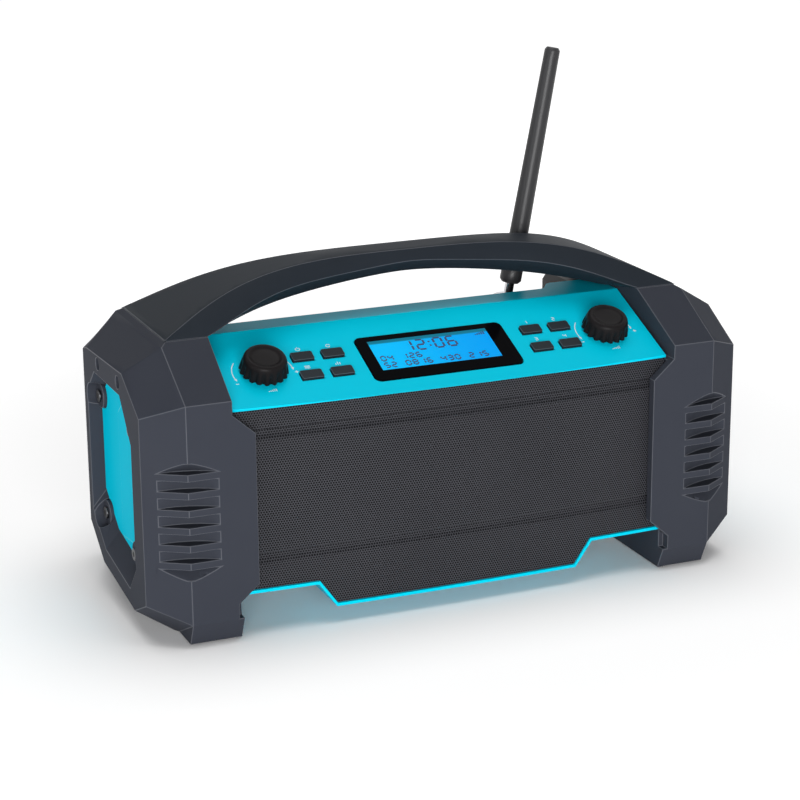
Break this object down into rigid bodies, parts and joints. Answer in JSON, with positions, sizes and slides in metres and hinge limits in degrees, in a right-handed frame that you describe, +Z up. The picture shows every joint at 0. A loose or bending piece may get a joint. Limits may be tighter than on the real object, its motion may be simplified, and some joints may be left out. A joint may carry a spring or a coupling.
{
  "type": "jobsite radio",
  "caption": "Jobsite radio with faceted end guards, arched carry handle, sloped control panel with display, two knobs and push buttons, speaker grille and a folding rod antenna.",
  "frame": {"origin": "on the floor, middle of the width and of the depth", "axes": "+X to the radio's right seen from the front, +Y to its back, +Z up"},
  "size_m": [0.33, 0.152, 0.2691],
  "materials": {
    "frame_rubber": "soft touch, fine texture",
    "handle_rubber": "soft touch, fine texture",
    "turquoise_shell": "satin moulded",
    "black_shell": "matt moulded",
    "grille_steel": "perforated, satin",
    "bezel_gloss": "piano gloss",
    "display_pane": "lit from behind",
    "knob_rubber": "satin",
    "key_rubber": "satin",
    "plated_metal": "bright",
    "screw_steel": "blackened",
    "board": "lacquered",
    "speaker_metal": "satin",
    "speaker_paper": "matt",
    "pad_rubber": "matt",
    "battery_wrap": "satin"
  },
  "bodies": {
    "radio": {"carry_handle": "handle_rubber", "left_end_frame": "frame_rubber", "right_end_frame": "frame_rubber", "left_side_panel": "turquoise_shell", "right_side_panel": "turquoise_shell", "side_panel_screws": "screw_steel", "frame_screws": "screw_steel", "foot_pads": "pad_rubber", "front_housing": "turquoise_shell", "rear_housing": "black_shell", "speaker_grille": "grille_steel", "display_bezel": "bezel_gloss", "lcd_window": "display_pane", "lcd_module": "black_shell", "main_board": "board", "port_panel": "black_shell", "port_hinge_rod": "plated_metal", "battery_cover": "black_shell", "battery_pack": "battery_wrap", "battery_cover_screws": "screw_steel", "left_key_mat": "key_rubber", "right_key_mat": "key_rubber", "volume_encoder": "black_shell", "tuning_encoder": "black_shell", "left_speaker": "speaker_metal", "left_speaker_cone": "speaker_paper", "right_speaker": "speaker_metal", "right_speaker_cone": "speaker_paper"},
    "power_button_body": {"power_button": "key_rubber"},
    "mode_button_body": {"mode_button": "key_rubber"},
    "menu_button_body": {"menu_button": "key_rubber"},
    "tone_button_body": {"tone_button": "key_rubber"},
    "preset_one_button_body": {"preset_one_button": "key_rubber"},
    "preset_two_button_body": {"preset_two_button": "key_rubber"},
    "preset_three_button_body": {"preset_three_button": "key_rubber"},
    "preset_four_button_body": {"preset_four_button": "key_rubber"},
    "volume_shaft_body": {"volume_shaft": "plated_metal"},
    "volume_knob_body": {"volume_knob": "knob_rubber"},
    "tuning_shaft_body": {"tuning_shaft": "plated_metal"},
    "tuning_knob_body": {"tuning_knob": "knob_rubber"},
    "antenna_turret_body": {"antenna_turret": "plated_metal", "antenna_pin": "plated_metal"},
    "antenna_mast_body": {"antenna_hinge": "plated_metal", "antenna_mast": "knob_rubber"},
    "port_cover_body": {"port_cover": "black_shell"}
  },
  "joints": [
    {"name": "power_button_press", "type": "slide", "parent": "radio", "child": "power_button_body", "axis": [0, 0.3891, -0.9212], "range_m": [0, 0.0008], "stiffness_N_per_m": 300, "springref_m": -0.0006},
    {"name": "mode_button_press", "type": "slide", "parent": "radio", "child": "mode_button_body", "axis": [0, 0.3891, -0.9212], "range_m": [0, 0.0008], "stiffness_N_per_m": 300, "springref_m": -0.0006},
    {"name": "menu_button_press", "type": "slide", "parent": "radio", "child": "menu_button_body", "axis": [0, 0.3891, -0.9212], "range_m": [0, 0.0008], "stiffness_N_per_m": 300, "springref_m": -0.0006},
    {"name": "tone_button_press", "type": "slide", "parent": "radio", "child": "tone_button_body", "axis": [0, 0.3891, -0.9212], "range_m": [0, 0.0008], "stiffness_N_per_m": 300, "springref_m": -0.0006},
    {"name": "preset_one_button_press", "type": "slide", "parent": "radio", "child": "preset_one_button_body", "axis": [0, 0.3891, -0.9212], "range_m": [0, 0.0008], "stiffness_N_per_m": 300, "springref_m": -0.0006},
    {"name": "preset_two_button_press", "type": "slide", "parent": "radio", "child": "preset_two_button_body", "axis": [0, 0.3891, -0.9212], "range_m": [0, 0.0008], "stiffness_N_per_m": 300, "springref_m": -0.0006},
    {"name": "preset_three_button_press", "type": "slide", "parent": "radio", "child": "preset_three_button_body", "axis": [0, 0.3891, -0.9212], "range_m": [0, 0.0008], "stiffness_N_per_m": 300, "springref_m": -0.0006},
    {"name": "preset_four_button_press", "type": "slide", "parent": "radio", "child": "preset_four_button_body", "axis": [0, 0.3891, -0.9212], "range_m": [0, 0.0008], "stiffness_N_per_m": 300, "springref_m": -0.0006},
    {"name": "volume_push", "type": "slide", "parent": "radio", "child": "volume_shaft_body", "axis": [0, 0.3891, -0.9212], "range_m": [0, 0.0006], "stiffness_N_per_m": 900, "springref_m": -0.0008},
    {"name": "volume_turn", "type": "hinge", "parent": "volume_shaft_body", "child": "volume_knob_body", "pos_m": [-0.0953, -0.04704, 0.12917], "axis": [0, -0.3891, 0.9212], "continuous": true},
    {"name": "tuning_push", "type": "slide", "parent": "radio", "child": "tuning_shaft_body", "axis": [0, 0.3891, -0.9212], "range_m": [0, 0.0006], "stiffness_N_per_m": 900, "springref_m": -0.0008},
    {"name": "tuning_turn", "type": "hinge", "parent": "tuning_shaft_body", "child": "tuning_knob_body", "pos_m": [0.0953, -0.04704, 0.12917], "axis": [0, -0.3891, 0.9212], "continuous": true},
    {"name": "antenna_swivel", "type": "hinge", "parent": "radio", "child": "antenna_turret_body", "pos_m": [0.0751, 0.03, 0.121], "axis": [0, 0, 1], "range_deg": [-10, 190]},
    {"name": "antenna_tilt", "type": "hinge", "parent": "antenna_turret_body", "child": "antenna_mast_body", "pos_m": [0.0751, 0.03, 0.13], "axis": [0, 1, 0], "range_deg": [-100.9, 7]},
    {"name": "port_cover_hinge", "type": "hinge", "parent": "radio", "child": "port_cover_body", "pos_m": [-0.062, 0.0682, 0.0422], "axis": [-1, 0, 0], "range_deg": [0, 88]}
  ]
}
